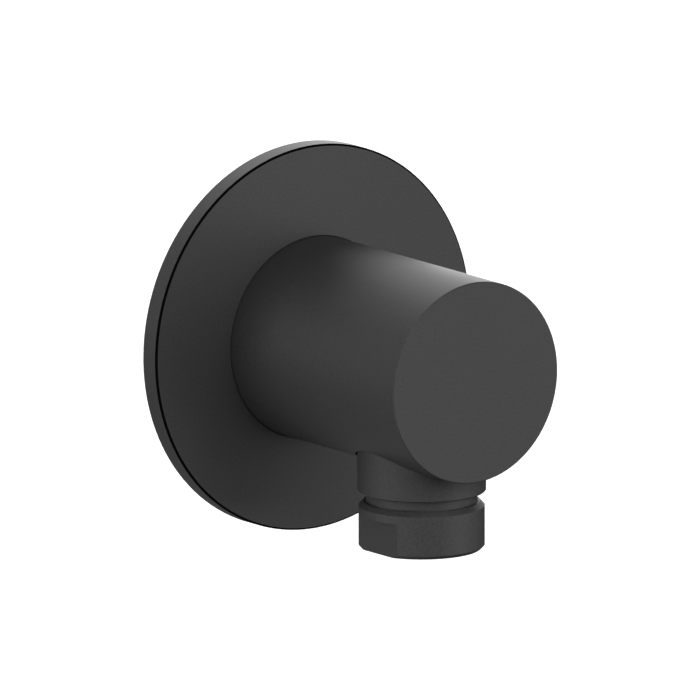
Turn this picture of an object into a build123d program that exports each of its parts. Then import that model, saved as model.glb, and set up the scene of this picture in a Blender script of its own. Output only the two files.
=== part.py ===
from build123d import *
from build123d.topology import SkipClean
from math import radians, tan
import os

os.makedirs("parts", exist_ok=True)

# Wall outlet elbow for a shower hose, in millimetres.
# The wall's face is the plane y = 0 and the body stands out of it along -Y, on the Y axis.
# The outlet points down, along -Z, on an axis of its own at outlet_from_wall.

# Escutcheon: a shallow cup drawn from sheet, with a foam ring inside its rim
escutcheon_diameter = 65.0
escutcheon_depth = 3.6
escutcheon_sheet = 1.0
escutcheon_edge_width = 0.3
escutcheon_edge_depth = 0.25
escutcheon_bend = 0.5
cover_collar_setback = 0.8
wall_seal_width = 3.0

# Body: a round bar, drilled from the back and closed at its front
body_diameter = 34.0
body_reach = 48.6
body_edge = 0.15
body_setback = 0.5
waterway_diameter = 12.0
waterway_overrun = 1.0
drill_point_angle = 118.0
socket_lead = 0.6

# Outlet nipple: neck, groove, and a collar of half-inch size with two spanner flats
outlet_from_front = 14.95
outlet_bore = 11.0
neck_diameter = 21.4
neck_below_body = 3.7
neck_edge = 0.2
groove_diameter = 18.55
groove_width = 1.75
collar_length = 8.0
collar_top_chamfer = 0.75
collar_end_chamfer = 0.6
collar_mouth_chamfer = 0.4
flats_across = 18.0
flats_length = 5.9
joint_thread_diameter = 18.0
joint_thread_length = 5.1
joint_thread_chamfer = 0.5
joint_thread_runout = 0.7
washer_recess = 5.4
washer_thickness = 1.0

# Wall nipple: half-inch thread, flange, and the spigot that the body slides over
half_inch_thread = 20.955
inlet_thread_length = 14.0
inlet_thread_chamfer = 0.8
flange_diameter = 25.6
flange_thickness = 3.0
spigot_diameter = 19.0
spigot_length = 14.0
spigot_chamfer = 0.6
nipple_bore = 11.6
key_across_flats = 12.0
key_depth = 8.0
front_ring_from_tip = 2.1
ring_spacing = 2.8
lock_groove_depth = 0.8

# Grub screw under the body, with its cone in the spigot's lock groove
screw_diameter = 5.0
screw_from_wall = 8.0
screw_recess = 0.75
screw_key_across_flats = 2.5
screw_key_depth = 2.5

# Non-return valve cartridge, in the outlet nipple's bore
cartridge_diameter = 14.9
cartridge_length = 17.0
cartridge_shoulder = 4.5
chamber_diameter = 12.6
seat_diameter = 8.0
seat_thickness = 3.0
seat_funnel = 1.0
cartridge_ring_drop = 1.7
poppet_diameter = 10.8
poppet_head = 1.2
poppet_nose_diameter = 6.6
poppet_nose_land = 0.4
poppet_neck_diameter = 5.0
poppet_seal_thickness = 1.0
stem_diameter = 3.0
stem_length = 10.25
stem_chamfer = 0.4
spring_boss_diameter = 4.4
spring_boss_height = 1.0
guide_thickness = 2.5
guide_rim_diameter = 13.4
guide_rim_width = 1.0
guide_hub_diameter = 5.2
guide_hub_height = 5.0
guide_arm_width = 1.2
guide_arms = 4
spring_wire = 0.6
spring_mean_diameter = 6.6
spring_turns = 5

# Round-section rings, as fitted
spigot_ring_section = 1.4
friction_ring_section = 1.3
friction_ring_from_wall = 2.0
cartridge_ring_section = 1.0
ring_groove_slack = 0.5

# Clearances, on the radius or between faces
cover_gap = 0.15
neck_gap = 0.3
flange_gap = 0.3
washer_play = 0.1
cartridge_play = 0.15
slip_fit = 0.05
seat_gap = 0.05
thread_play = 0.03
seal_play = 0.02

# Radii that several pieces share
escutcheon_radius = escutcheon_diameter / 2
rim_inside_radius = escutcheon_radius - escutcheon_sheet
body_radius = body_diameter / 2
cover_hole_radius = body_radius + cover_gap
neck_radius = neck_diameter / 2
joint_radius = joint_thread_diameter / 2
collar_radius = half_inch_thread / 2
spigot_radius = spigot_diameter / 2
socket_radius = spigot_radius + slip_fit
flange_socket_radius = flange_diameter / 2 + flange_gap
waterway_radius = waterway_diameter / 2
outlet_bore_radius = outlet_bore / 2
valve_bore_radius = cartridge_diameter / 2 + cartridge_play
guide_seat_radius = guide_rim_diameter / 2 + slip_fit
poppet_radius = poppet_diameter / 2
stem_radius = stem_diameter / 2

# Places along the body's axis, as y
plate_back = escutcheon_sheet - escutcheon_depth
flange_front = -body_setback - flange_thickness
spigot_tip = flange_front - spigot_length
flange_socket_floor = flange_front - flange_gap
socket_floor = spigot_tip - flange_gap
front_ring_y = spigot_tip + front_ring_from_tip
rear_ring_y = front_ring_y + ring_spacing
outlet_from_wall = body_reach - outlet_from_front
waterway_end = -(outlet_from_wall + waterway_radius + waterway_overrun)
drill_tip = waterway_end - waterway_radius / tan(radians(drill_point_angle / 2))

# Places along the outlet's axis, as z
washer_seat = washer_recess - body_radius
neck_shoulder = washer_seat - washer_thickness
joint_thread_top = washer_seat + joint_thread_length
neck_end = -body_radius - neck_below_body
collar_top = neck_end - groove_width
collar_end = collar_top - collar_length
flats_top = collar_end + flats_length
cartridge_top = joint_thread_top - cartridge_shoulder
cartridge_end = cartridge_top - cartridge_length
cartridge_ring_z = cartridge_top - cartridge_ring_drop
seat_face = cartridge_top - seat_thickness
seal_top = seat_face - seat_gap
seal_bottom = seal_top - poppet_seal_thickness
head_bottom = seal_bottom - poppet_head
guide_top = cartridge_end + guide_thickness
hub_top = cartridge_end + guide_hub_height

body_axis = Axis.Y
outlet_plane = Plane.XZ.offset(outlet_from_wall)
outlet_axis = Axis((0, -outlet_from_wall, 0), (0, 0, 1))


def turn_on_body(*points, mode=Mode.ADD):
    """Turn a closed outline of (radius, y) points about the body's axis."""
    with BuildSketch(Plane.XY) as section:
        with BuildLine():
            Polyline(*points, close=True)
        make_face()
    revolve(section.sketch, axis=body_axis, mode=mode)


def turn_on_outlet(*points, mode=Mode.ADD):
    """Turn a closed outline of (radius, z) points about the outlet's axis."""
    with BuildSketch(outlet_plane) as section:
        with BuildLine():
            Polyline(*points, close=True)
        make_face()
    revolve(section.sketch, axis=outlet_axis, mode=mode)


def groove_floor(sealing_radius, section):
    """Radius of the groove that holds a ring against a wall of the given radius."""
    return sealing_radius - section - 2 * seal_play


def cut_ring_groove(turn, sealing_radius, section, centre):
    """Cut a ring's groove into the turned piece, open as far as the wall that it seals on."""
    half_width = (section + ring_groove_slack) / 2
    floor = groove_floor(sealing_radius, section)
    turn(
        (floor, centre - half_width),
        (sealing_radius, centre - half_width),
        (sealing_radius, centre + half_width),
        (floor, centre + half_width),
        mode=Mode.SUBTRACT,
    )


def turn_ring(plane, axis, sealing_radius, section, centre):
    """Turn a round-section ring that seals on a wall of the given radius."""
    with BuildSketch(plane) as circle:
        with Locations((sealing_radius - seal_play - section / 2, centre)):
            Circle(section / 2)
    revolve(circle.sketch, axis=axis)


def finish(piece, name):
    """Label a finished piece and write it as a STEP file of the same name."""
    piece.part.label = name
    export_step(piece.part, f"parts/{name}.step")


# Escutcheon: the sheet turns back at the rim, and again round the hole as a short collar.
# Its front edge is broken all round, and its two inner bends are rounded.
with BuildPart() as escutcheon:
    with BuildSketch(Plane.XY):
        with BuildLine():
            Polyline(
                (escutcheon_radius, 0),
                (escutcheon_radius, escutcheon_edge_depth - escutcheon_depth),
                (escutcheon_radius - escutcheon_edge_width, -escutcheon_depth),
                (cover_hole_radius, -escutcheon_depth),
                (cover_hole_radius, -cover_collar_setback),
                (cover_hole_radius + escutcheon_sheet, -cover_collar_setback),
                (cover_hole_radius + escutcheon_sheet, plate_back),
                (rim_inside_radius, plate_back),
                (rim_inside_radius, 0),
                close=True,
            )
        cup_section = make_face()
        inner_bends = cup_section.vertices().filter_by_position(
            Axis.Y, plate_back - escutcheon_edge_depth, plate_back + escutcheon_edge_depth
        )
        fillet(inner_bends, escutcheon_bend)
    revolve(axis=body_axis)
finish(escutcheon, "escutcheon")

# Foam ring: fills the cup's depth beside the rim, and lies on the wall
wall_seal_radius = rim_inside_radius - escutcheon_bend
with BuildPart() as wall_seal:
    turn_on_body(
        (wall_seal_radius - wall_seal_width, 0),
        (wall_seal_radius, 0),
        (wall_seal_radius, plate_back),
        (wall_seal_radius - wall_seal_width, plate_back),
    )
finish(wall_seal, "wall_seal")

# Body: turned outside, with the flange's seat, the spigot's socket and the blind waterway in it
with BuildPart() as elbow_body:
    turn_on_body(
        (0, -body_reach),
        (body_radius - body_edge, -body_reach),
        (body_radius, body_edge - body_reach),
        (body_radius, -body_setback),
        (flange_socket_radius, -body_setback),
        (flange_socket_radius, flange_socket_floor),
        (socket_radius + socket_lead, flange_socket_floor),
        (socket_radius, flange_socket_floor - socket_lead),
        (socket_radius, socket_floor),
        (waterway_radius, socket_floor),
        (waterway_radius, waterway_end),
        (0, drill_tip),
    )
    cut_ring_groove(turn_on_body, cover_hole_radius, friction_ring_section, -friction_ring_from_wall)
    # From below: the recess round the neck, the tapped hole and the passage to the waterway
    below_body = -body_radius - neck_gap
    turn_on_outlet(
        (0, 0),
        (outlet_bore_radius, 0),
        (outlet_bore_radius, joint_thread_top + joint_thread_runout),
        (joint_radius + thread_play, joint_thread_top + joint_thread_runout),
        (joint_radius + thread_play, washer_seat),
        (neck_radius + neck_gap, washer_seat),
        (neck_radius + neck_gap, below_body),
        (0, below_body),
        mode=Mode.SUBTRACT,
    )
    with Locations(Location((0, -screw_from_wall, -body_radius), (180, 0, 0))):
        Hole(screw_diameter / 2 + thread_play, depth=body_radius - spigot_radius)
finish(elbow_body, "elbow_body")

# Friction ring: holds the escutcheon on the body
with BuildPart() as escutcheon_ring:
    turn_ring(
        Plane.XY, body_axis, cover_hole_radius, friction_ring_section, -friction_ring_from_wall
    )
finish(escutcheon_ring, "escutcheon_ring")

# Wall nipple: the thread goes into the wall, the flange stops it there, and the spigot has two
# ring grooves, the lock groove for the grub screw and a hexagon socket for the fitting key
with BuildPart() as wall_nipple:
    turn_on_body(
        (nipple_bore / 2, inlet_thread_length - body_setback),
        (collar_radius - inlet_thread_chamfer, inlet_thread_length - body_setback),
        (collar_radius, inlet_thread_length - body_setback - inlet_thread_chamfer),
        (collar_radius, -body_setback),
        (flange_diameter / 2, -body_setback),
        (flange_diameter / 2, flange_front),
        (spigot_radius, flange_front),
        (spigot_radius, spigot_tip + spigot_chamfer),
        (spigot_radius - spigot_chamfer, spigot_tip),
        (nipple_bore / 2, spigot_tip),
    )
    for ring_y in (front_ring_y, rear_ring_y):
        cut_ring_groove(turn_on_body, socket_radius, spigot_ring_section, ring_y)
    turn_on_body(
        (spigot_radius - lock_groove_depth, -screw_from_wall),
        (spigot_radius + slip_fit, -screw_from_wall - lock_groove_depth - slip_fit),
        (spigot_radius + slip_fit, -screw_from_wall + lock_groove_depth + slip_fit),
        mode=Mode.SUBTRACT,
    )
    with BuildSketch(Plane.XZ.offset(-spigot_tip)):
        RegularPolygon(radius=key_across_flats / 2, side_count=6, major_radius=False)
    extrude(amount=-key_depth, mode=Mode.SUBTRACT)
finish(wall_nipple, "wall_nipple")

# Two rings on the spigot, in the body's socket
for ring_name, ring_y in (("nipple_ring_front", front_ring_y), ("nipple_ring_rear", rear_ring_y)):
    with BuildPart() as nipple_ring:
        turn_ring(Plane.XY, body_axis, socket_radius, spigot_ring_section, ring_y)
    finish(nipple_ring, ring_name)

# Grub screw: its 90 degree cone stops just short of the lock groove's floor
screw_radius = screw_diameter / 2
screw_tip = -(spigot_radius - lock_groove_depth + seat_gap)
screw_head = screw_recess - body_radius
with BuildPart() as set_screw:
    with BuildSketch(Plane.XZ.offset(screw_from_wall)):
        with BuildLine():
            Polyline(
                (0, screw_tip),
                (screw_radius, screw_tip - screw_radius),
                (screw_radius, screw_head),
                (0, screw_head),
                close=True,
            )
        make_face()
    revolve(axis=Axis((0, -screw_from_wall, 0), (0, 0, 1)))
    with BuildSketch(Plane((0, -screw_from_wall, screw_head))):
        RegularPolygon(radius=screw_key_across_flats / 2, side_count=6, major_radius=False)
    extrude(amount=screw_key_depth, mode=Mode.SUBTRACT)
finish(set_screw, "set_screw")

# The collar's lower part, between its spanner flats
with BuildPart() as flatted_collar:
    turn_on_outlet(
        (valve_bore_radius, flats_top),
        (collar_radius, flats_top),
        (collar_radius, collar_end + collar_end_chamfer),
        (collar_radius - collar_end_chamfer, collar_end),
        (valve_bore_radius + collar_mouth_chamfer, collar_end),
        (valve_bore_radius, collar_end + collar_mouth_chamfer),
    )
    with BuildSketch(Plane((0, -outlet_from_wall, collar_end))):
        Rectangle(flats_across, 2 * collar_radius)
    extrude(amount=flats_length, mode=Mode.INTERSECT)

# Outlet nipple: joint thread, neck and shoulder, groove, and the collar down to its flats
with BuildPart() as outlet_nipple:
    turn_on_outlet(
        (outlet_bore_radius, joint_thread_top),
        (joint_radius - joint_thread_chamfer, joint_thread_top),
        (joint_radius, joint_thread_top - joint_thread_chamfer),
        (joint_radius, neck_shoulder),
        (neck_radius, neck_shoulder),
        (neck_radius, neck_end + neck_edge),
        (neck_radius - neck_edge, neck_end),
        (groove_diameter / 2, neck_end),
        (groove_diameter / 2, collar_top),
        (collar_radius - collar_top_chamfer, collar_top),
        (collar_radius, collar_top - collar_top_chamfer),
        (collar_radius, flats_top),
        (valve_bore_radius, flats_top),
        (valve_bore_radius, cartridge_top),
        (outlet_bore_radius, cartridge_top),
    )
    # The full band above the flats and the walls beside them stay faces of their own
    with SkipClean():
        add(flatted_collar.part)
finish(outlet_nipple, "outlet_nipple")

# Flat washer between the neck's shoulder and the body
with BuildPart() as outlet_washer:
    turn_on_outlet(
        (joint_radius + washer_play, washer_seat),
        (neck_radius - washer_play, washer_seat),
        (neck_radius - washer_play, neck_shoulder),
        (joint_radius + washer_play, neck_shoulder),
    )
finish(outlet_washer, "outlet_washer")

# Cartridge sleeve: a funnel leads to the seat, and the guide snaps into the open end
with BuildPart() as valve_housing:
    turn_on_outlet(
        (seat_diameter / 2 + seat_funnel, cartridge_top),
        (cartridge_diameter / 2, cartridge_top),
        (cartridge_diameter / 2, cartridge_end),
        (guide_seat_radius, cartridge_end),
        (guide_seat_radius, guide_top),
        (chamber_diameter / 2, guide_top),
        (chamber_diameter / 2, seat_face),
        (seat_diameter / 2, seat_face),
        (seat_diameter / 2, cartridge_top - seat_funnel),
    )
    cut_ring_groove(turn_on_outlet, valve_bore_radius, cartridge_ring_section, cartridge_ring_z)
finish(valve_housing, "valve_housing")

with BuildPart() as valve_ring:
    turn_ring(
        outlet_plane, outlet_axis, valve_bore_radius, cartridge_ring_section, cartridge_ring_z
    )
finish(valve_ring, "valve_ring")

# Poppet: a rounded nose in the flow, a neck for the rubber ring, the head, a boss that centres
# the spring, and the stem
nose_radius = poppet_nose_diameter / 2
nose_centre = seal_top + poppet_nose_land
with BuildPart() as valve_poppet:
    with BuildSketch(outlet_plane):
        with BuildLine():
            Polyline(
                (0, nose_centre + nose_radius),
                (0, head_bottom - stem_length),
                (stem_radius - stem_chamfer, head_bottom - stem_length),
                (stem_radius, head_bottom - stem_length + stem_chamfer),
                (stem_radius, head_bottom - spring_boss_height),
                (spring_boss_diameter / 2, head_bottom - spring_boss_height),
                (spring_boss_diameter / 2, head_bottom),
                (poppet_radius, head_bottom),
                (poppet_radius, seal_bottom),
                (poppet_neck_diameter / 2, seal_bottom),
                (poppet_neck_diameter / 2, seal_top),
                (nose_radius, seal_top),
                (nose_radius, nose_centre),
            )
            CenterArc((0, nose_centre), nose_radius, start_angle=0, arc_size=90)
        make_face()
    revolve(axis=outlet_axis)
finish(valve_poppet, "valve_poppet")

with BuildPart() as poppet_seal:
    turn_on_outlet(
        (poppet_neck_diameter / 2 + seal_play, seal_top),
        (poppet_radius, seal_top),
        (poppet_radius, seal_bottom),
        (poppet_neck_diameter / 2 + seal_play, seal_bottom),
    )
finish(poppet_seal, "poppet_seal")

# Guide: a rim and a long hub joined by arms, with the spring standing on the arms
with BuildPart() as valve_guide:
    with BuildSketch(Plane((0, -outlet_from_wall, cartridge_end))):
        Circle(guide_rim_diameter / 2)
        Circle(guide_rim_diameter / 2 - guide_rim_width, mode=Mode.SUBTRACT)
        arm_reach = guide_rim_diameter / 2 - guide_rim_width / 2
        with PolarLocations(arm_reach / 2, guide_arms):
            Rectangle(arm_reach, guide_arm_width)
    extrude(amount=guide_thickness)
    with BuildSketch(Plane((0, -outlet_from_wall, cartridge_end))):
        Circle(guide_hub_diameter / 2)
    extrude(amount=guide_hub_height)
    with Locations((0, -outlet_from_wall, hub_top)):
        Hole(stem_radius + slip_fit)
finish(valve_guide, "valve_guide")

# Spring: a plain helix between the guide's arms and the poppet's head
spring_bottom = guide_top + spring_wire / 2 + seat_gap
spring_top = head_bottom - spring_wire / 2 - seat_gap
with BuildPart() as valve_spring:
    with BuildLine():
        coil = Helix(
            pitch=(spring_top - spring_bottom) / spring_turns,
            height=spring_top - spring_bottom,
            radius=spring_mean_diameter / 2,
            center=(0, -outlet_from_wall, spring_bottom),
        )
    with BuildSketch(Plane(origin=coil @ 0, z_dir=coil % 0)):
        Circle(spring_wire / 2)
    sweep(is_frenet=True)
finish(valve_spring, "valve_spring")
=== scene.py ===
"""Looks of a matte black wall outlet elbow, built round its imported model.

All lengths are in metres, and colours and tones are linear.
"""

import logging
import math
from dataclasses import dataclass, field
from enum import Enum
from typing import Any, Callable, Iterable, Mapping

import bmesh
import bpy
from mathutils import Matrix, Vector, noise


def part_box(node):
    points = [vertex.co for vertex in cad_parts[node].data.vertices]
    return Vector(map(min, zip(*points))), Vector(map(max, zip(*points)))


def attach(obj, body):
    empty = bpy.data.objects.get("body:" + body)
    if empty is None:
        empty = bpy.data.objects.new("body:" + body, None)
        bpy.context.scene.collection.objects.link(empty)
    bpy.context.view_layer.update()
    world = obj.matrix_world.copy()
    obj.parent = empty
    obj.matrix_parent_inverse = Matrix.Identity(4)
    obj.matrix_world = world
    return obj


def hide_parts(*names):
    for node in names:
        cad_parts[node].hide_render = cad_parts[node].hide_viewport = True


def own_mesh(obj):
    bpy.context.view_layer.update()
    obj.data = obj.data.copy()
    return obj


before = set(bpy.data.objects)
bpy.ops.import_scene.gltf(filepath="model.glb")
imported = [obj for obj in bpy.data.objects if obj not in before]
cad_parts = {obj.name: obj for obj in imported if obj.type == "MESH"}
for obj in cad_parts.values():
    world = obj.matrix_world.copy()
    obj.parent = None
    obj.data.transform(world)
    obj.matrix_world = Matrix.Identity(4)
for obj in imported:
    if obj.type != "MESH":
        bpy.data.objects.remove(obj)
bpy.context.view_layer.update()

MM = 0.001
FITTING = "fitting"
NOISE_MIDDLE = 0.5

log = logging.getLogger("elbow")

Colour = tuple[float, float, float]
Point = tuple[float, float]
Profile = Callable[[float], float]


def grey(tone: float) -> Colour:
    """Return a neutral colour of one linear tone."""
    return (tone, tone, tone)


class Signal:
    """A node's output socket, on which sums are written as Python expressions."""

    def __init__(self, tree: "Tree", socket: bpy.types.NodeSocket) -> None:
        """Keep the socket with the tree that it belongs to.

        Args:
            tree: The node tree.
            socket: The output socket that carries the value.
        """
        self.tree = tree
        self.socket = socket

    def _sum(self, operation: str, first: Any, second: Any) -> "Signal":
        """Add one Math node.

        Args:
            operation: The Math node's operation.
            first: A signal or a number.
            second: A signal or a number.

        Returns:
            The node's result.
        """
        return self.tree.add("ShaderNodeMath", {"operation": operation}, {0: first, 1: second})

    def __add__(self, other: "Signal | float") -> "Signal":
        """Return this plus other."""
        return self._sum("ADD", self, other)

    def __radd__(self, other: float) -> "Signal":
        """Return other plus this."""
        return self._sum("ADD", other, self)

    def __sub__(self, other: "Signal | float") -> "Signal":
        """Return this minus other."""
        return self._sum("SUBTRACT", self, other)

    def __rsub__(self, other: float) -> "Signal":
        """Return other minus this."""
        return self._sum("SUBTRACT", other, self)

    def __mul__(self, other: "Signal | float") -> "Signal":
        """Return this times other."""
        return self._sum("MULTIPLY", self, other)

    def __rmul__(self, other: float) -> "Signal":
        """Return other times this."""
        return self._sum("MULTIPLY", other, self)

    def above(self, level: float, softness: float) -> "Signal":
        """Return a mask that is 1 where this is over a level.

        Args:
            level: The value at which the mask is one half.
            softness: The width over which it turns from 0 to 1.

        Returns:
            The mask.
        """
        limits = {"From Min": level - softness / 2, "From Max": level + softness / 2}
        settings = {"interpolation_type": "SMOOTHSTEP"}
        return self.tree.add("ShaderNodeMapRange", settings, {"Value": self, **limits})


class Tree:
    """The nodes of one material or of the world."""

    def __init__(self, owner: "bpy.types.Material | bpy.types.World") -> None:
        """Start an empty node tree.

        Args:
            owner: The material or world that the nodes belong to.
        """
        owner.use_nodes = True
        self.nodes = owner.node_tree.nodes
        self.links = owner.node_tree.links
        self.nodes.clear()

    def add(
        self,
        kind: str,
        settings: Mapping[str, Any] | None = None,
        inputs: Mapping[Any, Any] | None = None,
        output: "str | int" = 0,
    ) -> Signal:
        """Add one node.

        Args:
            kind: The node's type.
            settings: Its properties, such as a Math node's operation, set first.
            inputs: The value or signal of each socket, by name, identifier or place.
            output: The output that is wanted, by name, identifier or place.

        Returns:
            The wanted output.
        """
        node = self.nodes.new(kind)
        for name, value in (settings or {}).items():
            setattr(node, name, value)
        for key, value in (inputs or {}).items():
            socket = self._socket(node.inputs, key)
            if isinstance(value, Signal):
                self.links.new(value.socket, socket)
            elif isinstance(value, tuple) and socket.type == "RGBA":
                socket.default_value = (*value, 1.0)
            else:
                socket.default_value = value
        if not node.outputs:
            return Signal(self, None)
        return Signal(self, self._socket(node.outputs, output))

    @staticmethod
    def _socket(sockets: Any, key: "str | int") -> bpy.types.NodeSocket:
        """Find a socket.

        Args:
            sockets: A node's inputs or outputs.
            key: The socket's place, identifier or name.

        Returns:
            The socket.
        """
        if isinstance(key, int):
            return sockets[key]
        by_identifier = [s for s in sockets if s.identifier == key]
        return by_identifier[0] if by_identifier else sockets[key]

    def place(self) -> Signal:
        """Return the point on the surface, in the piece's own frame."""
        return self.add("ShaderNodeTexCoord", output="Object")

    def mix(self, mask: "Signal | float", first: Any, second: Any) -> Signal:
        """Mix two colours.

        Args:
            mask: 0 gives the first colour and 1 the second.
            first: A colour or a signal.
            second: A colour or a signal.

        Returns:
            The mixed colour.
        """
        inputs = {"Factor_Float": mask, "A_Color": first, "B_Color": second}
        return self.add("ShaderNodeMix", {"data_type": "RGBA"}, inputs, "Result_Color")

    def grain(self, size: float, detail: float = 2.0, place: Signal | None = None) -> Signal:
        """Return a noise between 0 and 1.

        Args:
            size: The width of one grain.
            detail: How much finer noise lies over it.
            place: Where it is read, or the point on the surface.

        Returns:
            The noise.
        """
        inputs = {"Vector": place or self.place(), "Scale": 1 / size, "Detail": detail}
        return self.add("ShaderNodeTexNoise", {}, inputs)

    def relief(self, height: Signal, depth: float) -> Signal:
        """Return the normal of a surface with this relief.

        Args:
            height: The relief, from 0 to 1.
            depth: The relief's real depth.

        Returns:
            The normal.
        """
        inputs = {"Height": height, "Distance": depth, "Strength": 1.0}
        return self.add("ShaderNodeBump", {}, inputs)

    def surface(self, **sockets: Any) -> Signal:
        """Add a Principled shader.

        Args:
            **sockets: Its sockets, with an underscore for each space in a name.

        Returns:
            The shader.
        """
        inputs = {name.replace("_", " "): value for name, value in sockets.items()}
        return self.add("ShaderNodeBsdfPrincipled", {}, inputs)

    def finish(self, shader: Signal) -> None:
        """Join a shader to the tree's output."""
        self.add("ShaderNodeOutputMaterial", {}, {"Surface": shader})


@dataclass(frozen=True)
class TurnAxis:
    """An axis that pieces are turned about, parallel to Y or to Z."""

    origin: Vector
    along: Vector
    across: Vector

    def point(self, radius: float, angle: float, height: float) -> Vector:
        """Find a point beside the axis.

        Args:
            radius: Its distance from the axis.
            angle: Its angle round the axis.
            height: Its height along the axis.

        Returns:
            The point.
        """
        side = self.along.cross(self.across)
        spoke = self.across * math.cos(angle) + side * math.sin(angle)
        return self.origin + self.along * height + spoke * radius

    def distance(self, tree: Tree) -> Signal:
        """Return the surface's distance from the axis, for a material.

        Args:
            tree: The material's nodes.

        Returns:
            The distance, in metres.
        """
        moved = tree.add(
            "ShaderNodeVectorMath",
            {"operation": "SUBTRACT"},
            {0: tree.place(), 1: tuple(self.origin)},
        )
        spoke_only = tuple(1 - abs(part) for part in self.along)
        flat = tree.add(
            "ShaderNodeVectorMath", {"operation": "MULTIPLY"}, {0: moved, 1: spoke_only}
        )
        return tree.add("ShaderNodeVectorMath", {"operation": "LENGTH"}, {0: flat}, "Value")

    def height(self, tree: Tree) -> Signal:
        """Return the surface's height along the axis, for a material.

        Args:
            tree: The material's nodes.

        Returns:
            The height, in metres.
        """
        inputs = {0: tree.place(), 1: tuple(self.along)}
        return tree.add("ShaderNodeVectorMath", {"operation": "DOT_PRODUCT"}, inputs, "Value")

    def turned(self, tree: Tree) -> Signal:
        """Return a place that is the same all round the axis, so that noise on it makes rings."""
        inputs = {"X": self.distance(tree), "Y": self.height(tree)}
        return tree.add("ShaderNodeCombineXYZ", {}, inputs)


BODY_AXIS = TurnAxis(Vector((0, 0, 0)), Vector((0, 1, 0)), Vector((1, 0, 0)))


def axis_through(node: str) -> TurnAxis:
    """Return the upright axis through the middle of a node's box.

    Args:
        node: The node's name.

    Returns:
        The axis, with heights measured from the body's axis.
    """
    low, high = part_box(node)
    middle = (low + high) / 2
    return TurnAxis(Vector((middle.x, middle.y, 0)), Vector((0, 0, 1)), Vector((1, 0, 0)))


class Finish:
    """A finish, which names its material and builds its shader."""

    name: str

    def shader(self, tree: Tree) -> Signal:
        """Build the shader.

        Args:
            tree: The material's nodes.

        Returns:
            The shader.
        """
        raise NotImplementedError

    def make(self) -> bpy.types.Material:
        """Build the material.

        Returns:
            The material.
        """
        material = bpy.data.materials.new(self.name)
        tree = Tree(material)
        tree.finish(self.shader(tree))
        return material


@dataclass(frozen=True)
class MatteCoat(Finish):
    """Matte black coating: a near-black tone with a very fine grain."""

    name: str = "black_coat"
    tone: float = 0.029
    grain_tone: float = 0.031
    grain_size: float = 0.3 * MM
    grain_detail: float = 1.0
    cloud_size: float = 9 * MM
    cloud_tone: float = 0.0012
    roughness: float = 0.5
    roughness_spread: float = 0.06
    relief_depth: float = 0.004 * MM
    specular: float = 0.4
    bare_axis: TurnAxis | None = None
    bare_radius: float = 0.0
    bare_from: float = 0.0
    bare_softness: float = 0.02 * MM

    def shader(self, tree: Tree) -> Signal:
        """Build the coat, with bare brass in the bore.

        Args:
            tree: The material's nodes.

        Returns:
            The shader.
        """
        fine = tree.grain(self.grain_size, self.grain_detail)
        broad = tree.grain(self.cloud_size)
        grain = (fine - NOISE_MIDDLE) * self.grain_tone
        clouds = (broad - NOISE_MIDDLE) * self.cloud_tone
        colour = tree.mix(self.tone + grain + clouds, grey(0.0), grey(1.0))
        roughness = self.roughness + (fine - NOISE_MIDDLE) * self.roughness_spread
        normal = tree.relief(fine, self.relief_depth)
        if self.bare_axis is None:
            return tree.surface(
                Base_Color=colour,
                Roughness=roughness,
                Normal=normal,
                Specular_IOR_Level=self.specular,
            )
        brass = BareBrass(axis=self.bare_axis)
        distance = self.bare_axis.distance(tree)
        height = self.bare_axis.height(tree)
        inside = 1 - distance.above(self.bare_radius, self.bare_softness)
        bare = inside * height.above(self.bare_from, self.bare_softness)
        return tree.surface(
            Base_Color=tree.mix(bare, colour, brass.colour(tree)),
            Roughness=roughness + bare * (brass.roughness - self.roughness),
            Metallic=bare,
            Normal=normal,
            Specular_IOR_Level=self.specular,
        )


@dataclass(frozen=True)
class CoverCoatWithShadeLine(MatteCoat):
    """The same coating on the escutcheon, with a near-black band of painted shade along its broken
    front edge, standing in for a fine shadow gap.
    """

    name: str = "cover_coat_shade_line"
    shade_line_tone: float = 0.002
    shade_line_roughness: float = 0.9
    shade_line_radius: float = 0.0
    shade_line_back: float = 0.0
    shade_line_softness: float = 0.01 * MM

    def shader(self, tree: Tree) -> Signal:
        """Build the coat and the band of painted shade over it.

        Args:
            tree: The material's nodes.

        Returns:
            The shader.
        """
        # Where the band of painted shade lies: outside a radius and ahead of a depth, on the broken
        # front edge
        outside = BODY_AXIS.distance(tree).above(self.shade_line_radius, self.shade_line_softness)
        depth = tree.add("ShaderNodeSeparateXYZ", {}, {"Vector": tree.place()}, "Y")
        ahead = 1 - depth.above(self.shade_line_back, self.shade_line_softness)
        # The painted shade itself: a near-black, rough surface without reflection, standing in for
        # a shadow gap
        line = tree.surface(
            Base_Color=grey(self.shade_line_tone),
            Roughness=self.shade_line_roughness,
            Specular_IOR_Level=0.0,
        )
        layers = {0: outside * ahead, 1: super().shader(tree), 2: line}
        return tree.add("ShaderNodeMixShader", {}, layers)


@dataclass(frozen=True)
class BareBrass(Finish):
    """Brass as it leaves the lathe, with fine turning marks round an axis."""

    name: str = "bare_brass"
    axis: TurnAxis = BODY_AXIS
    bright: Colour = (0.74, 0.57, 0.30)
    dull: Colour = (0.60, 0.43, 0.20)
    stain_size: float = 6 * MM
    stain_detail: float = 4.0
    mark_size: float = 0.12 * MM
    mark_detail: float = 3.0
    mark_depth: float = 0.004 * MM
    roughness: float = 0.3
    roughness_spread: float = 0.16

    def colour(self, tree: Tree) -> Signal:
        """Return the brass's colour, a little duller in patches."""
        stains = tree.grain(self.stain_size, self.stain_detail)
        return tree.mix(stains, self.bright, self.dull)

    def shader(self, tree: Tree) -> Signal:
        """Build the brass.

        Args:
            tree: The material's nodes.

        Returns:
            The shader.
        """
        marks = tree.grain(self.mark_size, self.mark_detail, self.axis.turned(tree))
        return tree.surface(
            Base_Color=self.colour(tree),
            Metallic=1.0,
            Roughness=self.roughness + (marks - NOISE_MIDDLE) * self.roughness_spread,
            Normal=tree.relief(marks, self.mark_depth),
        )


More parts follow.
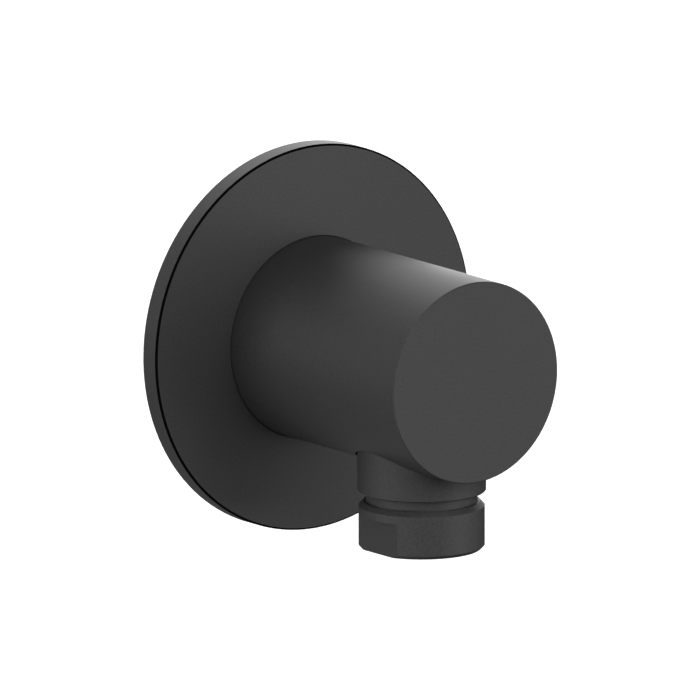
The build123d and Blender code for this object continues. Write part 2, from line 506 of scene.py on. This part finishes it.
@dataclass(frozen=True)
class Steel(Finish):
    """Stainless steel with a fine satin grain."""

    name: str = "steel"
    bright: Colour = (0.60, 0.60, 0.61)
    dull: Colour = (0.46, 0.46, 0.47)
    mark_size: float = 0.1 * MM
    mark_detail: float = 3.0
    mark_depth: float = 0.003 * MM
    roughness: float = 0.3
    roughness_spread: float = 0.14

    def shader(self, tree: Tree) -> Signal:
        """Build the steel.

        Args:
            tree: The material's nodes.

        Returns:
            The shader.
        """
        marks = tree.grain(self.mark_size, self.mark_detail)
        return tree.surface(
            Base_Color=tree.mix(marks, self.bright, self.dull),
            Metallic=1.0,
            Roughness=self.roughness + (marks - NOISE_MIDDLE) * self.roughness_spread,
            Normal=tree.relief(marks, self.mark_depth),
        )


@dataclass(frozen=True)
class Rubber(Finish):
    """Black seal rubber, matte with a faint bloom."""

    name: str = "rubber"
    dark: Colour = (0.014, 0.014, 0.015)
    bloom: Colour = (0.030, 0.030, 0.031)
    bloom_size: float = 2 * MM
    grain_size: float = 0.12 * MM
    grain_depth: float = 0.006 * MM
    roughness: float = 0.68
    roughness_spread: float = 0.1

    def shader(self, tree: Tree) -> Signal:
        """Build the rubber.

        Args:
            tree: The material's nodes.

        Returns:
            The shader.
        """
        fine = tree.grain(self.grain_size)
        return tree.surface(
            Base_Color=tree.mix(tree.grain(self.bloom_size), self.dark, self.bloom),
            Roughness=self.roughness + (fine - NOISE_MIDDLE) * self.roughness_spread,
            Normal=tree.relief(fine, self.grain_depth),
        )


@dataclass(frozen=True)
class CellFoam(Finish):
    """Closed-cell foam: small round cells, darker in their pits by painted shade, lighter between
    them.
    """

    name: str = "foam"
    wall: Colour = (0.060, 0.060, 0.064)
    # The pits' darker colour is painted shade of the pores
    pit: Colour = (0.016, 0.016, 0.018)
    cell_size: float = 0.45 * MM
    cell_depth: float = 0.12 * MM
    cell_smoothness: float = 0.3
    roughness: float = 0.85

    def shader(self, tree: Tree) -> Signal:
        """Build the foam.

        Args:
            tree: The material's nodes.

        Returns:
            The shader.
        """
        inputs = {
            "Vector": tree.place(),
            "Scale": 1 / self.cell_size,
            "Smoothness": self.cell_smoothness,
        }
        cells = tree.add("ShaderNodeTexVoronoi", {"feature": "SMOOTH_F1"}, inputs, "Distance")
        return tree.surface(
            Base_Color=tree.mix(cells, self.pit, self.wall),
            Roughness=self.roughness,
            Normal=tree.relief(cells, self.cell_depth),
        )


class PlasticTint(Enum):
    """The two plastics of the valve."""

    NATURAL = "valve_plastic"
    BLUE = "poppet_plastic"


@dataclass(frozen=True)
class ValvePlastic(Finish):
    """Moulded acetal, satin, with faint flow patches and a fine mould texture."""

    tint: PlasticTint
    flow_size: float = 5 * MM
    flow_detail: float = 3.0
    grain_size: float = 0.09 * MM
    grain_depth: float = 0.003 * MM
    roughness: float = 0.38
    roughness_spread: float = 0.12

    @property
    def name(self) -> str:
        """Return the material's name."""
        return self.tint.value

    def colours(self) -> tuple[Colour, Colour]:
        """Choose the tint's colours.

        Returns:
            The lighter colour and the darker one.
        """
        if self.tint is PlasticTint.NATURAL:
            return (0.82, 0.82, 0.79), (0.74, 0.74, 0.70)
        return (0.07, 0.17, 0.42), (0.05, 0.13, 0.35)

    def shader(self, tree: Tree) -> Signal:
        """Build the plastic.

        Args:
            tree: The material's nodes.

        Returns:
            The shader.
        """
        fine = tree.grain(self.grain_size)
        flow = tree.grain(self.flow_size, self.flow_detail)
        return tree.surface(
            Base_Color=tree.mix(flow, *self.colours()),
            Roughness=self.roughness + (fine - NOISE_MIDDLE) * self.roughness_spread,
            Normal=tree.relief(fine, self.grain_depth),
        )


@dataclass(frozen=True)
class FloorPaint(Finish):
    """Pale matte paint that glows a little, so that the floor looks as pale as the room."""

    name: str = "floor_paint"
    darker: float = 0.84
    lighter: float = 0.86
    patch_size: float = 0.2
    roughness: float = 0.9
    glow: float = 0.4

    def shader(self, tree: Tree) -> Signal:
        """Build the paint.

        Args:
            tree: The material's nodes.

        Returns:
            The shader.
        """
        patches = tree.grain(self.patch_size)
        return tree.surface(
            Base_Color=tree.mix(patches, grey(self.darker), grey(self.lighter)),
            Roughness=self.roughness,
            Specular_IOR_Level=0.0,
            Emission_Color=grey(1.0),
            Emission_Strength=self.glow,
        )


@dataclass(frozen=True)
class Ring:
    """One ring of points of a turned piece: its height and its radius at each angle."""

    height: float
    radius: "float | Profile"

    def at(self, angle: float) -> float:
        """Return the radius at an angle."""
        return self.radius(angle) if callable(self.radius) else self.radius


@dataclass(frozen=True)
class HexSocket:
    """The hexagonal outline of a key socket."""

    across_flats: float

    def __call__(self, angle: float) -> float:
        """Find the hexagon's radius.

        Args:
            angle: The angle round its middle, from the middle of a flat.

        Returns:
            The radius.
        """
        sixth = math.radians(60)
        from_flat = (angle + sixth / 2) % sixth - sixth / 2
        return self.across_flats / 2 / math.cos(from_flat)


@dataclass(frozen=True)
class Thread:
    """A screw thread with rounded crests and roots, cut between two heights."""

    crest_radius: float
    pitch: float
    depth: float
    start: float
    end: float
    run_out: float
    rings_per_turn: int = 20

    def heights(self) -> list[float]:
        """Return the heights of the rings that show the thread."""
        count = round((self.end - self.start) / self.pitch * self.rings_per_turn)
        return [self.start + (self.end - self.start) * i / count for i in range(count + 1)]

    def radius(self, height: float, ceiling: float) -> Profile:
        """Return the thread's radius round the ring at one height.

        Args:
            height: The ring's height.
            ceiling: The radius that the blank has there.

        Returns:
            The radius as a function of the angle.
        """
        edge = min(height - self.start, self.end - height)
        share = max(0.0, min(1.0, edge / self.run_out))

        def outline(angle: float) -> float:
            """Find the thread's radius.

            Args:
                angle: The angle round the axis.

            Returns:
                The radius.
            """
            turned = (height / self.pitch - angle / math.tau) % 1.0
            wave = abs(2 * turned - 1)
            rounded = wave * wave * (3 - 2 * wave)
            return min(ceiling, self.crest_radius - self.depth * rounded * share)

        return outline


def rounded(corners: Iterable[tuple[float, float, float]], steps: int = 3) -> list[Point]:
    """Round the corners of an open outline.

    Args:
        corners: Each corner's radius from the axis, height, and rounding radius.
        steps: The number of short edges that make each round.

    Returns:
        The outline's points.
    """
    most_of_edge = 0.49
    listed = list(corners)
    points: list[Point] = []
    for place, (x, y, rounding) in enumerate(listed):
        if rounding == 0 or place in (0, len(listed) - 1):
            points.append((x, y))
            continue
        here = Vector((x, y))
        back = Vector(listed[place - 1][:2]) - here
        ahead = Vector(listed[place + 1][:2]) - here
        half = back.angle(ahead) / 2
        room = most_of_edge * min(back.length, ahead.length)
        reach = min(rounding / math.tan(half), room)
        middle = here + (back.normalized() + ahead.normalized()).normalized() * (
            reach / math.cos(half)
        )
        first = here + back.normalized() * reach - middle
        sweep = first.angle_signed(here + ahead.normalized() * reach - middle)
        for step in range(steps + 1):
            angle = -sweep * step / steps
            turned = Vector(
                (
                    first.x * math.cos(angle) - first.y * math.sin(angle),
                    first.x * math.sin(angle) + first.y * math.cos(angle),
                )
            )
            points.append(tuple(middle + turned))
    return points


def add_piece(name: str, mesh: bmesh.types.BMesh, material: bpy.types.Material) -> bpy.types.Object:
    """Turn a finished bmesh into a smooth-shaded object with sharp edges kept.

    Args:
        name: The piece's name.
        mesh: The mesh, which is freed.
        material: The piece's material.

    Returns:
        The object.
    """
    sharp_angle = math.radians(32)
    weld_distance = 1e-7
    bmesh.ops.remove_doubles(mesh, verts=mesh.verts, dist=weld_distance)
    bmesh.ops.dissolve_degenerate(mesh, edges=mesh.edges, dist=weld_distance)
    bmesh.ops.recalc_face_normals(mesh, faces=mesh.faces)
    for face in mesh.faces:
        face.smooth = True
    for edge in mesh.edges:
        edge.smooth = len(edge.link_faces) == 2 and edge.calc_face_angle() < sharp_angle
    data = bpy.data.meshes.new(name)
    mesh.to_mesh(data)
    mesh.free()
    data.materials.append(material)
    piece = bpy.data.objects.new(name, data)
    bpy.context.scene.collection.objects.link(piece)
    return piece


def skin(mesh: bmesh.types.BMesh, loops: list[list[bmesh.types.BMVert]]) -> None:
    """Lay faces from each ring of vertices to the next.

    Args:
        mesh: The mesh that the vertices are in.
        loops: The rings, which all have the same number of vertices.
    """
    for first, second in zip(loops, loops[1:]):
        for i in range(len(first)):
            j = (i + 1) % len(first)
            mesh.faces.new((first[i], first[j], second[j], second[i]))


def turn(rings: list[Ring], axis: TurnAxis, steps: int, closed: bool) -> bmesh.types.BMesh:
    """Skin rings of points into a turned mesh.

    Args:
        rings: The rings, in order round the section.
        axis: The axis that they are turned about.
        steps: The number of points on a ring.
        closed: Whether the last ring joins the first, as on a hollow piece. Otherwise the
            first and the last ring are points on the axis.

    Returns:
        The mesh.
    """
    mesh = bmesh.new()
    angles = [math.tau * i / steps for i in range(steps)]
    loops = [
        [mesh.verts.new(axis.point(ring.at(a), a, ring.height)) for a in angles] for ring in rings
    ]
    skin(mesh, [*loops, loops[0]] if closed else loops)
    return mesh


def dress(node: str, material: bpy.types.Material) -> None:
    """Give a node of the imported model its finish.

    Args:
        node: The node's name.
        material: The finish.
    """
    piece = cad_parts[node]
    piece.data.materials.clear()
    piece.data.materials.append(material)
    log.info("%s wears %s", node, material.name)


def stand_in(piece: bpy.types.Object, node: str, body: str) -> None:
    """Let a modelled piece take the place of a node.

    Args:
        piece: The new piece.
        node: The node that it stands for.
        body: The body that it rides on.
    """
    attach(piece, body)
    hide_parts(node)
    log.info("%s stands for %s with %d faces", piece.name, node, len(piece.data.polygons))


@dataclass
class Cover:
    """The escutcheon, with the foam ring inside its rim."""

    edge_width: float = 0.3 * MM
    edge_depth: float = 0.25 * MM
    # How far the band of painted shade reaches past the chamfer, onto the face and onto the rim
    shade_line_over_face: float = 0.03 * MM
    shade_line_over_rim: float = 0.09 * MM
    foam_width: float = 3.0 * MM
    foam_corner: float = 0.5 * MM
    foam_pit_size: float = 0.9 * MM
    foam_pit_depth: float = 0.1 * MM
    foam_steps: int = 480

    def build(self) -> None:
        """Dress the escutcheon and model the foam ring."""
        low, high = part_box("escutcheon")
        # The escutcheon's coat paints shade along its front edge, as a near-black band over the
        # chamfer
        coat = CoverCoatWithShadeLine(
            shade_line_radius=high.x - self.edge_width - self.shade_line_over_face,
            shade_line_back=low.y + self.edge_depth + self.shade_line_over_rim,
        )
        dress("escutcheon", coat.make())
        self.foam_ring()

    def foam_ring(self) -> None:
        """Model the foam ring, rounded at its cut edges and pitted all over."""
        low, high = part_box("wall_seal")
        outer = high.x
        inner = outer - self.foam_width
        front, back = low.y, high.y
        middle = (front + back) / 2
        corners = [
            (inner, middle, 0.0),
            (inner, front, self.foam_corner),
            (outer, front, self.foam_corner),
            (outer, back, self.foam_corner),
            (inner, back, self.foam_corner),
            (inner, middle, 0.0),
        ]
        outline = self.divided(rounded(corners, steps=4))
        centre = Vector(((inner + outer) / 2, middle))
        rings = [Ring(y, self.pitted(x, y, centre)) for x, y in outline[:-1]]
        mesh = turn(rings, BODY_AXIS, self.foam_steps, closed=True)
        piece = add_piece("foam_ring", mesh, CellFoam().make())
        stand_in(piece, "wall_seal", FITTING)

    @staticmethod
    def divided(outline: list[Point], longest: float = 0.45 * MM) -> list[Point]:
        """Divide an outline's long edges.

        Args:
            outline: The outline's points.
            longest: The longest edge that stays whole.

        Returns:
            The outline with points added.
        """
        points = [outline[0]]
        for start, end in zip(outline, outline[1:]):
            count = max(1, math.ceil((Vector(end) - Vector(start)).length / longest))
            for i in range(1, count + 1):
                points.append(tuple(Vector(start).lerp(Vector(end), i / count)))
        return points

    def pitted(self, radius: float, height: float, centre: Vector) -> Profile:
        """Return a foam ring's radius at each angle, a little uneven.

        Args:
            radius: The even ring's radius.
            height: The ring's height on the axis.
            centre: The middle of the section, as radius and height.

        Returns:
            The radius as a function of the angle.
        """
        inward = -1 if radius > centre.x else 1

        def outline(angle: float) -> float:
            """Find the foam's radius.

            Args:
                angle: The angle round the axis.

            Returns:
                The radius.
            """
            point = BODY_AXIS.point(radius, angle, height) / self.foam_pit_size
            share = (1 + noise.noise(point)) / 2
            return radius + inward * self.foam_pit_depth * share

        return outline


@dataclass
class Body:
    """The body, with the grub screw under it."""

    bare_radius: float = 10.4 * MM
    front_wall: float = 2.0 * MM
    screw_pitch: float = 0.8 * MM
    screw_thread_depth: float = 0.45 * MM
    screw_run_out: float = 0.3 * MM
    screw_lead: float = 0.35 * MM
    screw_key: float = 2.5 * MM
    screw_key_depth: float = 2.5 * MM
    screw_key_chamfer: float = 0.12 * MM
    screw_drill_radius: float = 1.2 * MM
    screw_drill_point: float = 0.5 * MM
    screw_steps: int = 96

    def build(self) -> None:
        """Dress the body and model the grub screw."""
        coat = MatteCoat(
            name="body_coat",
            bare_axis=BODY_AXIS,
            bare_radius=self.bare_radius,
            bare_from=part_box("elbow_body")[0].y + self.front_wall,
        )
        dress("elbow_body", coat.make())
        self.grub_screw()

    def grub_screw(self) -> None:
        """Model the grub screw with its thread, cone and hexagon socket."""
        low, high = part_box("set_screw")
        axis = axis_through("set_screw")
        crest = (high.x - low.x) / 2
        head, tip = low.z, high.z
        shoulder = tip - crest
        lead = self.screw_lead
        thread = Thread(
            crest_radius=crest,
            pitch=self.screw_pitch,
            depth=self.screw_thread_depth,
            start=head,
            end=shoulder,
            run_out=self.screw_run_out,
        )
        socket = HexSocket(self.screw_key)
        floor = head + self.screw_key_depth
        rings = [Ring(tip, 0.0), Ring(shoulder, crest - lead)]
        for height in reversed(thread.heights()[1:-1]):
            ceiling = min(crest, crest - lead + (height - head))
            rings.append(Ring(height, thread.radius(height, ceiling)))
        rings += [
            Ring(head, crest - lead),
            Ring(head, lambda a: socket(a) + self.screw_key_chamfer),
            Ring(head + self.screw_key_chamfer, socket),
            Ring(floor, socket),
            Ring(floor, self.screw_drill_radius),
            Ring(floor + self.screw_drill_point, 0.0),
        ]
        piece = add_piece(
            "grub_screw", turn(rings, axis, self.screw_steps, closed=False), Steel().make()
        )
        stand_in(piece, "set_screw", FITTING)


@dataclass
class WallNipple:
    """The nipple that screws into the wall, with the two rings on its spigot."""

    pitch: float = 1.814 * MM
    thread_depth: float = 1.162 * MM
    bore: float = 11.6 * MM
    thread_radius: float = 10.4775 * MM
    run_out: float = 0.9 * MM
    relief_width: float = 1.9 * MM
    lead: float = 1.3 * MM
    flange_back: float = -0.5 * MM
    flange_front: float = -3.5 * MM
    spigot_radius: float = 9.5 * MM
    spigot_chamfer: float = 0.6 * MM
    edge: float = 0.25 * MM
    inner_edge: float = 0.1 * MM
    groove_edge: float = 0.08 * MM
    key: float = 12.0 * MM
    key_depth: float = 8.0 * MM
    key_chamfer: float = 0.15 * MM
    lock_groove_y: float = -8.0 * MM
    lock_groove_depth: float = 0.8 * MM
    groove_half_width: float = 0.95 * MM
    groove_floor: float = 8.11 * MM
    steps: int = 144

    def build(self) -> None:
        """Model the nipple and dress its rings."""
        low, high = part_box("wall_nipple")
        thread = Thread(
            crest_radius=self.thread_radius,
            pitch=self.pitch,
            depth=self.thread_depth,
            start=self.flange_back + self.relief_width,
            end=high.y,
            run_out=self.run_out,
        )
        rings = self.threaded_end(thread, high)
        rings += self.flange_and_spigot(low, high)
        mesh = turn(rings, BODY_AXIS, self.steps, closed=True)
        piece = add_piece("threaded_nipple", mesh, BareBrass().make())
        stand_in(piece, "wall_nipple", FITTING)
        rubber = Rubber().make()
        for node in ("nipple_ring_front", "nipple_ring_rear", "escutcheon_ring"):
            dress(node, rubber)

    def threaded_end(self, thread: Thread, high: Vector) -> list[Ring]:
        """Return the rings of the threaded end, from its mouth to the flange.

        Args:
            thread: The thread.
            high: The nipple's highest corner.

        Returns:
            The rings.
        """
        mouth = high.y
        rings = [
            Ring(mouth - self.edge, self.bore / 2),
            Ring(mouth, self.bore / 2 + self.edge),
            Ring(mouth, self.thread_radius - self.lead),
        ]
        for height in reversed(thread.heights()[:-1]):
            ceiling = self.thread_radius - self.lead + (mouth - height)
            rings.append(Ring(height, thread.radius(height, min(ceiling, self.thread_radius))))
        return rings

    def flange_and_spigot(self, low: Vector, high: Vector) -> list[Ring]:
        """Return the rings of the flange, the spigot and the bore.

        Args:
            low: The nipple's lowest corner.
            high: The nipple's highest corner.

        Returns:
            The rings.
        """
        tip, flange = low.y, high.x
        groove = self.lock_groove_depth
        corners = [
            (self.thread_radius, self.flange_back + self.relief_width, 0.0),
            (self.thread_radius, self.flange_back, 0.0),
            (flange, self.flange_back, self.edge),
            (flange, self.flange_front, self.edge),
            (self.spigot_radius, self.flange_front, self.inner_edge),
            (self.spigot_radius, self.lock_groove_y + groove, 0.0),
            (self.spigot_radius - groove, self.lock_groove_y, self.inner_edge),
            (self.spigot_radius, self.lock_groove_y - groove, 0.0),
        ]
        ring_heights = [
            (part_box(name)[0].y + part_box(name)[1].y) / 2
            for name in ("nipple_ring_rear", "nipple_ring_front")
        ]
        for centre in ring_heights:
            near, far = centre + self.groove_half_width, centre - self.groove_half_width
            corners += [
                (self.spigot_radius, near, self.groove_edge),
                (self.groove_floor, near, self.inner_edge),
                (self.groove_floor, far, self.inner_edge),
                (self.spigot_radius, far, self.groove_edge),
            ]
        corners += [
            (self.spigot_radius, tip + self.spigot_chamfer, 0.0),
            (self.spigot_radius - self.spigot_chamfer, tip, 0.0),
        ]
        rings = [Ring(y, x) for x, y in rounded(corners)]
        socket = HexSocket(self.key)
        floor = tip + self.key_depth
        rings += [
            Ring(tip, lambda a: socket(a) + self.key_chamfer),
            Ring(tip + self.key_chamfer, socket),
            Ring(floor, socket),
            Ring(floor, self.bore / 2),
        ]
        return rings


@dataclass
class Outlet:
    """The outlet nipple with its washer."""

    bare_radius: float = 7.8 * MM
    coated_mouth: float = 0.6 * MM

    def build(self) -> None:
        """Dress the outlet nipple and the washer."""
        coat = MatteCoat(
            name="outlet_coat",
            bare_axis=axis_through("outlet_nipple"),
            bare_radius=self.bare_radius,
            bare_from=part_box("outlet_nipple")[0].z + self.coated_mouth,
        )
        dress("outlet_nipple", coat.make())
        dress("outlet_washer", Rubber(name="washer_rubber").make())


@dataclass
class CheckValve:
    """The non-return valve cartridge in the outlet nipple."""

    end_turns: int = 1
    free_turns: int = 5
    wire_radius: float = 0.3 * MM
    end_gap: float = 0.02 * MM
    points_per_turn: int = 40
    wire_sides: int = 14

    def build(self) -> None:
        """Dress the valve's pieces and model its spring."""
        natural = ValvePlastic(PlasticTint.NATURAL).make()
        dress("valve_housing", natural)
        dress("valve_guide", natural)
        dress("valve_poppet", ValvePlastic(PlasticTint.BLUE).make())
        rubber = Rubber(name="valve_rubber").make()
        dress("valve_ring", rubber)
        dress("poppet_seal", rubber)
        self.spring()

    def spring(self) -> None:
        """Model the spring with closed end turns."""
        low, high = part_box("valve_spring")
        axis = axis_through("valve_guide")
        path = self.coil_path(axis, low, high)
        mesh = bmesh.new()
        loops = [self.wire_ring(mesh, path, i, axis) for i in range(len(path))]
        skin(mesh, loops)
        mesh.faces.new(reversed(loops[0]))
        mesh.faces.new(loops[-1])
        piece = add_piece("coil_spring", mesh, Steel(name="spring_steel").make())
        stand_in(piece, "valve_spring", FITTING)
        foot = axis.point(0, 0, low.z)
        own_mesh(piece)

    def coil_path(self, axis: TurnAxis, low: Vector, high: Vector) -> list[Vector]:
        """Return the wire's centre line.

        Args:
            axis: The spring's axis.
            low: The lowest corner of the spring's box.
            high: Its highest corner.

        Returns:
            The points.
        """
        turns = self.free_turns + 2 * self.end_turns
        closed_pitch = 2 * self.wire_radius + self.end_gap
        bottom, top = low.z + self.wire_radius, high.z - self.wire_radius
        free_pitch = (top - bottom - 2 * self.end_turns * closed_pitch) / self.free_turns
        radius = (high.x - low.x) / 2 - self.wire_radius
        points = []
        for i in range(turns * self.points_per_turn + 1):
            turned = i / self.points_per_turn
            closed_below = min(turned, self.end_turns)
            closed_above = max(0.0, turned - self.end_turns - self.free_turns)
            free = turned - closed_below - closed_above
            height = bottom + (closed_below + closed_above) * closed_pitch + free * free_pitch
            points.append(axis.point(radius, math.tau * turned, height))
        return points

    def wire_ring(
        self, mesh: bmesh.types.BMesh, path: list[Vector], place: int, axis: TurnAxis
    ) -> list[bmesh.types.BMVert]:
        """Add the wire's ring of points at one point of its centre line.

        Args:
            mesh: The spring's mesh.
            path: The centre line.
            place: The point's place on it.
            axis: The spring's axis.

        Returns:
            The ring's vertices.
        """
        here = path[place]
        ahead = path[min(place + 1, len(path) - 1)] - path[max(place - 1, 0)]
        spoke = here - axis.origin
        spoke = (spoke - axis.along * spoke.dot(axis.along)).normalized()
        rise = ahead.normalized().cross(spoke)
        ring = []
        for i in range(self.wire_sides):
            angle = math.tau * i / self.wire_sides
            around = spoke * math.cos(angle) + rise * math.sin(angle)
            ring.append(mesh.verts.new(here + around * self.wire_radius))
        return ring


@dataclass(frozen=True)
class SoftBox:
    """A round soft light that faces the object from afar.

    Its turn to the camera's right, its height and its half angle are degrees, as the object
    sees them. Its brightness is its radiance.
    """

    name: str
    turn: float
    height: float
    half_angle: float
    brightness: float

    def hang(self, aim: Vector, camera_azimuth: float, distance: float) -> None:
        """Hang the light.

        Args:
            aim: The point that it faces.
            camera_azimuth: The azimuth, in degrees, that its turn starts from.
            distance: How far it is from that point.
        """
        toward = direction(camera_azimuth + self.turn, self.height)
        radius = distance * math.tan(math.radians(self.half_angle))
        data = bpy.data.lights.new(self.name, "AREA")
        data.shape = "DISK"
        data.size = 2 * radius
        data.energy = self.brightness * math.pi * math.pi * radius**2
        lamp = bpy.data.objects.new(self.name, data)
        lamp.location = aim + toward * distance
        lamp.rotation_mode = "QUATERNION"
        lamp.rotation_quaternion = (-toward).to_track_quat("-Z", "Y")
        lamp.visible_camera = False
        bpy.context.scene.collection.objects.link(lamp)


def direction(azimuth: float, elevation: float) -> Vector:
    """Return a direction seen from the object.

    Args:
        azimuth: Degrees about Z, from the front towards +X.
        elevation: Degrees above the horizon.

    Returns:
        The direction, of length 1.
    """
    turned, raised = math.radians(azimuth), math.radians(elevation)
    flat = math.cos(raised)
    return Vector((math.sin(turned) * flat, -math.cos(turned) * flat, math.sin(raised)))


@dataclass
class Studio:
    """The floor, the light and the camera, whose azimuth and elevation are in degrees."""

    azimuth: float = -36.62
    elevation: float = 12.14
    view_width: float = 116.03 * MM
    aim: Vector = field(default_factory=lambda: Vector((-11.326, -28.977, 3.631)) * MM)
    camera_distance: float = 0.6
    nearest_seen: float = 0.01
    farthest_seen: float = 20.0
    floor_drop: float = 0.25
    floor_radius: float = 6.0
    floor_steps: int = 64
    light_distance: float = 2.5
    lights: tuple[SoftBox, ...] = (
        SoftBox("key_front_right", turn=25, height=30, half_angle=25, brightness=3.42),
        SoftBox("fill_right", turn=67, height=12, half_angle=25, brightness=2.2),
        SoftBox("fill_left", turn=-68, height=12, half_angle=25, brightness=2.4),
        SoftBox("edge_right", turn=120, height=-5, half_angle=20, brightness=0.22),
        SoftBox("edge_left", turn=-110, height=30, half_angle=20, brightness=0.52),
        SoftBox("rim_behind", turn=180, height=30, half_angle=25, brightness=2.43),
        SoftBox("rim_behind_left", turn=220, height=32, half_angle=14, brightness=1.6),
        SoftBox("rim_behind_right", turn=150, height=15, half_angle=14, brightness=0.9),
        SoftBox("low_strip_behind", turn=180, height=-4, half_angle=14, brightness=3.25),
        SoftBox("bounce_right", turn=90, height=-26, half_angle=25, brightness=0.6),
        SoftBox("bounce_front", turn=0, height=-26, half_angle=25, brightness=0.25),
        SoftBox("bounce_front_left", turn=-30, height=-26, half_angle=25, brightness=1.15),
        SoftBox("bounce_wide", turn=240, height=-40, half_angle=45, brightness=0.31),
    )

    def build(self) -> None:
        """Set the stage round the object."""
        self.floor()
        self.room()
        for light in self.lights:
            light.hang(BODY_AXIS.origin, self.azimuth, self.light_distance)
        self.camera()
        bpy.context.scene.view_settings.view_transform = "Standard"

    def floor(self) -> None:
        """Lay a plain pale floor well under the object."""
        mesh = bmesh.new()
        bmesh.ops.create_circle(
            mesh, cap_ends=True, segments=self.floor_steps, radius=self.floor_radius
        )
        bmesh.ops.translate(mesh, verts=mesh.verts, vec=(0, 0, -self.floor_drop))
        floor = bpy.data.objects.new("floor", bpy.data.meshes.new("floor"))
        mesh.to_mesh(floor.data)
        mesh.free()
        floor.data.materials.append(FloorPaint().make())
        floor.visible_diffuse = floor.visible_glossy = floor.visible_shadow = False
        bpy.context.scene.collection.objects.link(floor)

    def room(self) -> None:
        """Make the room white to the camera, and dark to the object but for the lights."""
        world = bpy.data.worlds.new("studio")
        bpy.context.scene.world = world
        tree = Tree(world)
        seen = tree.add("ShaderNodeLightPath", output="Is Camera Ray")
        white = tree.add("ShaderNodeBackground", {}, {"Color": grey(1.0), "Strength": seen})
        tree.add("ShaderNodeOutputWorld", {}, {"Surface": white})

    def camera(self) -> None:
        """Look at the object from the photograph's angle, without perspective."""
        back = direction(self.azimuth, self.elevation)
        data = bpy.data.cameras.new("camera")
        data.type = "ORTHO"
        data.ortho_scale = self.view_width
        data.clip_start = self.nearest_seen
        data.clip_end = self.farthest_seen
        camera = bpy.data.objects.new("camera", data)
        camera.location = self.aim + back * self.camera_distance
        camera.rotation_mode = "QUATERNION"
        camera.rotation_quaternion = (-back).to_track_quat("-Z", "Y")
        bpy.context.scene.collection.objects.link(camera)
        bpy.context.scene.camera = camera


def main() -> None:
    """Build every sub-assembly in order, then the studio."""
    logging.basicConfig(level=logging.INFO, format="%(message)s")
    for assembly in (Cover(), Body(), WallNipple(), Outlet(), CheckValve(), Studio()):
        log.info("building the %s", type(assembly).__name__)
        assembly.build()


if __name__ == "__main__":
    main()
